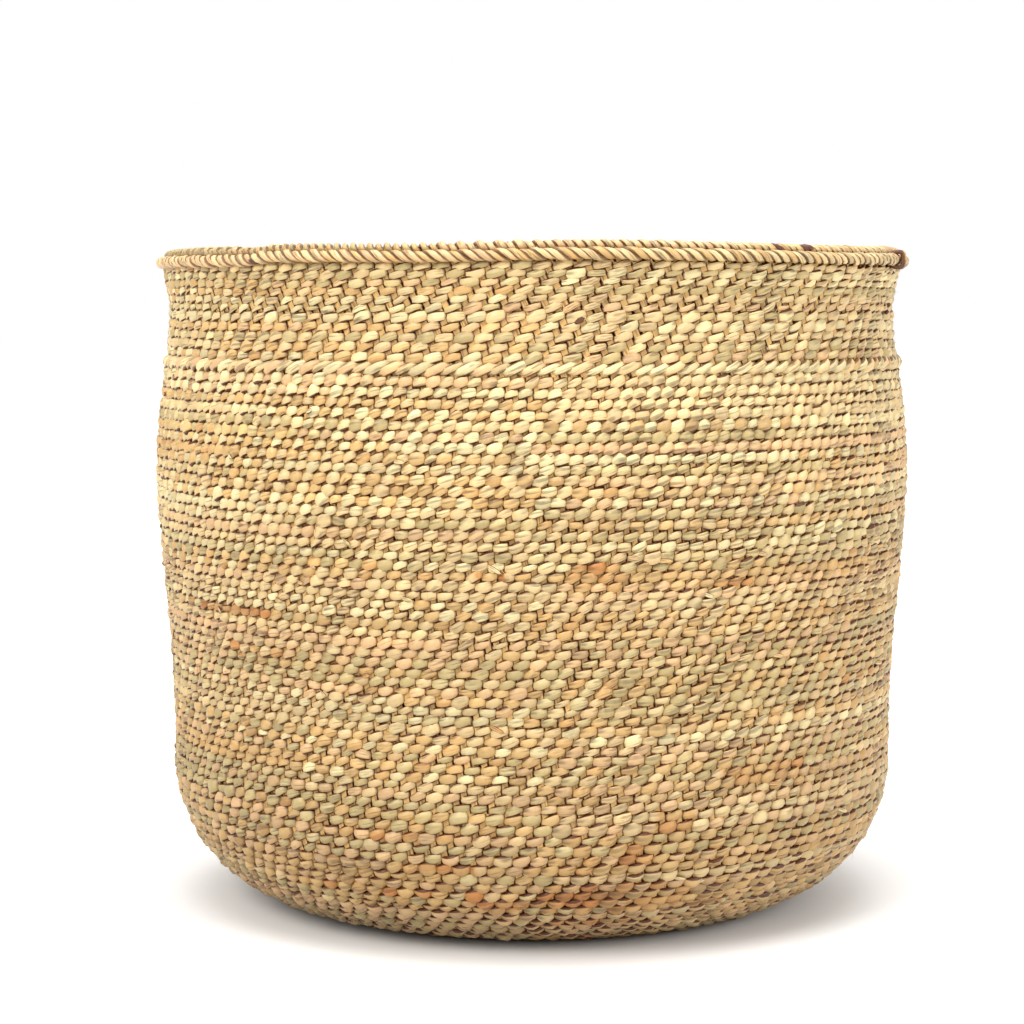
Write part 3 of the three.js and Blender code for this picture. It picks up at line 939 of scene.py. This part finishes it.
class BASKET_OT_stakes(bpy.types.Operator):
    """Set the stakes that the weft is twined around, from the start cross up to the rim"""

    bl_idname = "basket.stakes"
    bl_label = "Stakes"

    def execute(self, context):
        profile = Profile(context.scene.basket_shape)
        draws = random_draws("stakes")
        edges = band_edges(profile)
        zones = [zone for band in (*BASE_BANDS, *FOOT_BANDS, *WALL_BANDS, *NECK_BANDS)
                 for zone in band_zones(band, edges)]
        last = zones[-1]
        zones.append(Zone(last.high, last.high + RIM_STAKE_LENGTH, 1, last.stitches, last.lead))
        shell = bmesh.new()
        tones, fibres, bakes = [], [], []
        for number, zone in enumerate(zones):
            below = COURSES_UNDER_WALE if zone.low == edges[NECK_BANDS[0].node][0] else 0
            ring, tone, fibre, bake = stake_ring(profile, zone, draws, below)
            shell.from_mesh(ring)
            bpy.data.meshes.remove(ring)
            tones.append(tone)
            fibres.append(fibre)
            up = BAKE_RING_MARGIN + (1 - 2 * BAKE_RING_MARGIN) * bake[:, 1]
            bakes.append(np.column_stack((bake[:, 0], (number + up) / len(zones))))
        mesh = as_mesh("stakes", shell)
        tone = np.concatenate(tones)
        for key, values in zip(STRAND_VALUES, (tone, np.ones(len(tone)), np.zeros(len(tone)))):
            store_values(mesh, key, values)
        store_uvs(mesh, np.concatenate(fibres), np.concatenate(bakes))
        nodes = [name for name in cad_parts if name.startswith("stake_")]
        dress(place_object("stakes", mesh), STAKE_REED, "stake", *nodes)
        return {"FINISHED"}


def twisted_cord(cord, draws, stray=None, roll=None):
    """The strands of a cord, laid round each other as a ring that may stray.

    A strand shows its skin all round the cord, or with a roll leans it up by that.
    """
    steps = cord.turns * CORD_TURN_STEPS
    angle = tau * np.arange(steps) / steps
    out, up = stray(angle) if stray else (0, 0)
    laid = []
    for number in range(cord.strands):
        lay = cord.hand * cord.turns * angle + tau * number / cord.strands
        waver = 0.3 * MM * np.sin(5 * angle + 2 * number) + 0.2 * MM * np.sin(11 * angle + number)
        r = cord.radius + cord.reach[0] * np.cos(lay) + out
        z = cord.height + cord.reach[1] * np.sin(lay) + up + waver
        around = np.arctan2(cord.reach[0] * np.sin(lay), cord.reach[1] * np.cos(lay))
        turn = around if roll is None else roll * np.sin(lay)
        reeds = reed_lengths(cord.turns, cord.mix, CORD_REED_STITCHES, draws)
        tone, width, shade = np.repeat(reeds, CORD_TURN_STEPS, axis=1)
        # Painted shade browns the side of each strand that is tucked against the rest
        dusk = CORD_PAINTED_SHADE * (1 + np.cos(lay - cord.tucked))
        laid.append(Strand(ring_points(r, angle, z), width, turn, tone, CORD_SHADE * shade, dusk))
    return laid


class BASKET_OT_wale(bpy.types.Operator):
    """Lay the accent wale, one thick row of three strands below the neck"""

    bl_idname = "basket.wale"
    bl_label = "Accent wale"

    def execute(self, context):
        draws = random_draws("accent_wale")
        profile = Profile(context.scene.basket_shape)
        middle = (WALE_LOW + WALE_HIGH) / 2
        radius = float(profile.wall_radius(np.array([middle]))[0]) - WALE_INSET
        wale = Cord("accent_wale", 3, radius, middle, (2.9 * MM, 1.8 * MM), 54, 1,
                    4.4 * MM, 3.8 * MM, "pale", pi)
        strands = twisted_cord(wale, draws, roll=WALE_ROLL)
        piece = strand_piece(wale.name, strands, wale.width, wale.thickness)
        dress(piece, TWISTED_REED, "accent_wale", "outer_accent_wale", "inner_accent_wale")
        return {"FINISHED"}


def rim_stray(angle):
    """How far the hand-made rim strays outwards and upwards, with a step down at its splice."""
    around = wrapped(angle)
    out = 0.5 * MM * np.sin(2 * around + 1.1) + 0.4 * MM * np.sin(3 * around + 1.6)
    sag = 1 / (1 + np.exp((around - RIM_SPLICE) / 0.012)) * np.clip(3 + 1.2 * around, 0, 1)
    up = 0.4 * MM * np.sin(4 * around + 0.4) + 0.3 * MM * np.sin(7 * around) - RIM_SPLICE_STEP * sag
    return out, up


def darken(strands, patches, below=inf):
    """Leaves short dark patches on a cord, given by their angles, up to a height. At the rim's splice
    the patch is painted shadow of the hole under its step.
    """
    for strand in strands:
        angle = np.arctan2(strand.points[:, 0], -strand.points[:, 1])
        for patch in patches:
            dark = (np.abs(angle - patch) < 0.5 * RIM_PATCH_SPAN) & (strand.points[:, 2] < below)
            strand.dusk[dark] = PATCH_BROWN
            strand.shade[dark] = PATCH_SHADE


class BASKET_OT_rim(bpy.types.Operator):
    """Lay the three cords of the rim border"""

    bl_idname = "basket.rim"
    bl_label = "Rim cords"

    def execute(self, context):
        for cord in RIM_CORDS:
            strands = twisted_cord(cord, random_draws(cord.name), rim_stray)
            if cord.name == "rim_top_cord":
                darken(strands, RIM_DARK_PATCHES)
            if cord.name == "rim_outer_cord":
                # The dark patch under the splice's step is painted shadow of the hole there
                darken(strands, [RIM_SPLICE], SIDE_CORD_MIDDLE - RIM_SPLICE_STEP)
            piece = strand_piece(cord.name + "_lay", strands, cord.width, cord.thickness)
            dress(piece, TWISTED_REED, "rim_cord", cord.name)
        return {"FINISHED"}


class BASKET_OT_lashing(bpy.types.Operator):
    """Tie the brown lashing over the rim"""

    bl_idname = "basket.lashing"
    bl_label = "Lashing"

    def execute(self, context):
        low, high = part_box("rim_lashing")
        centre = (low + high) / 2
        at = atan2(centre.x, -centre.y)
        draws = random_draws("rim_lashing")
        way = np.linspace(0, tau, LASHING_POINTS, endpoint=False)
        out, up = [reach * np.sign(wave) * np.abs(wave) ** LASHING_ROUNDNESS
                   for reach, wave in zip(LASHING_REACH, (np.cos(way), np.sin(way)))]
        even = np.ones(LASHING_POINTS)
        loops = []
        for number in range(LASHING_LOOPS):
            angle = at + (number - 1) * LASHING_PITCH / OUTER_CORD_RADIUS + LASHING_LEAN * np.cos(way)
            points = ring_points(OUTER_CORD_RADIUS + LASHING_SHIFT + out, angle, SIDE_CORD_MIDDLE + up)
            tone = number / (LASHING_LOOPS - 1) + draws.uniform(-0.1, 0.1, LASHING_POINTS)
            loops.append(Strand(points, even, 0 * even, np.clip(tone, 0, 1), even, 0 * even))
        piece = strand_piece("rim_lashing_strand", loops, 2.2 * MM, 1.6 * MM, twist="MINIMUM")
        dress(piece, LASHING_REED, "lashing", "rim_lashing")
        return {"FINISHED"}


def seen_directly(tree):
    """One where the camera sees a surface itself, mirrored or through something, and zero elsewhere."""
    path = add_node(tree, "ShaderNodeLightPath")
    seen = path.outputs["Is Camera Ray"]
    for kind in ("Is Glossy Ray", "Is Transmission Ray"):
        seen = calculated(tree, "MAXIMUM", seen, path.outputs[kind])
    return seen


def make_floor(scene):
    """A wide pale floor just under the base, that fades to white away from the basket's shadow."""
    shell = bmesh.new()
    bmesh.ops.create_grid(shell, x_segments=1, y_segments=1, size=FLOOR_REACH)
    bmesh.ops.translate(shell, vec=(0, 0, -FLOOR_DROP), verts=shell.verts)
    floor = place_object("floor", as_mesh("floor", shell))
    material = new_material("Matt white board")
    tree = material.node_tree
    place = add_node(tree, "ShaderNodeTexCoord")
    away = add_node(tree, "ShaderNodeVectorMath", {"Vector": place.outputs["Object"]},
                    operation="LENGTH")
    fade = remapped(tree, away.outputs["Value"], *FLOOR_SHADOW)
    lift = add_node(tree, "ShaderNodeEmission", {
        "Color": (1, 1, 1, 1), "Strength": calculated(tree, "MULTIPLY", seen_directly(tree), fade)})
    board = add_node(tree, "ShaderNodeBsdfDiffuse", {"Color": (*scene.reed_colours.floor, 1)})
    both = add_node(tree, "ShaderNodeAddShader", {0: board.outputs["BSDF"], 1: lift.outputs["Emission"]})
    add_node(tree, "ShaderNodeOutputMaterial", {"Surface": both.outputs["Shader"]})
    floor.data.materials.append(material)


def make_surround(scene):
    """A white surround for the camera and for reflections, and a plainer level of soft light."""
    world = bpy.data.worlds.new("White studio")
    world.use_nodes = True
    tree = world.node_tree
    tree.nodes.clear()
    level = remapped(tree, seen_directly(tree), 0.0, 1.0, SOFT_LIGHT, 1.0)
    light = add_node(tree, "ShaderNodeBackground", {"Color": (1, 1, 1, 1), "Strength": level})
    add_node(tree, "ShaderNodeOutputWorld", {"Surface": light.outputs["Background"]})
    scene.world = world


def make_lights():
    """A large soft lamp from the upper left, one from above, and weaker ones from the right and back."""
    for name, place, size, power in LAMPS:
        lamp = bpy.data.lights.new(name, "AREA")
        lamp.shape = "DISK"
        lamp.size = size
        lamp.energy = power
        holder = place_object(name, lamp)
        holder.location = place
        holder.rotation_euler = (LAMP_AIM - Vector(place)).to_track_quat("-Z", "Y").to_euler()


def make_camera(scene):
    """A long lens just below the height of the rim, straight in front."""
    lens = bpy.data.cameras.new("camera")
    lens.lens = 90.86
    lens.sensor_width = 36
    camera = place_object("camera", lens)
    camera.location = (0, -1.388, 0.3142)
    camera.rotation_euler = (radians(90 - 4.57), 0, radians(0.44))
    scene.camera = camera


class BASKET_OT_stage(bpy.types.Operator):
    """Set the floor, the soft light, the white surround and the camera"""

    bl_idname = "basket.stage"
    bl_label = "Stage"

    def execute(self, context):
        scene = context.scene
        make_floor(scene)
        make_surround(scene)
        make_lights()
        make_camera(scene)
        scene.view_settings.view_transform = "Standard"
        return {"FINISHED"}


OPERATORS = (BASKET_OT_start_cross, BASKET_OT_stakes, BASKET_OT_base, BASKET_OT_foot, BASKET_OT_wall,
             BASKET_OT_wale, BASKET_OT_neck, BASKET_OT_rim, BASKET_OT_lashing, BASKET_OT_loose_ends,
             BASKET_OT_stage)


class BASKET_PT_panel(bpy.types.Panel):
    """Lists the steps that make the basket"""

    bl_label = "Twined Reed Basket"
    bl_idname = "BASKET_PT_panel"
    bl_space_type = "VIEW_3D"
    bl_region_type = "UI"
    bl_category = "Basket"

    def draw(self, context):
        for operator in OPERATORS:
            self.layout.operator(operator.bl_idname)


CLASSES = (BasketShape, ReedWeave, ReedColours, *OPERATORS, BASKET_PT_panel)


def register():
    for cls in CLASSES:
        bpy.utils.register_class(cls)
    bpy.types.Scene.basket_shape = PointerProperty(type=BasketShape)
    bpy.types.Scene.reed_weave = PointerProperty(type=ReedWeave)
    bpy.types.Scene.reed_colours = PointerProperty(type=ReedColours)


def unregister():
    for name in ("basket_shape", "reed_weave", "reed_colours"):
        delattr(bpy.types.Scene, name)
    for cls in reversed(CLASSES):
        bpy.utils.unregister_class(cls)


def main():
    register()
    for operator in OPERATORS:
        group, name = operator.bl_idname.split(".")
        getattr(getattr(bpy.ops, group), name)()


if __name__ == "__main__":
    main()
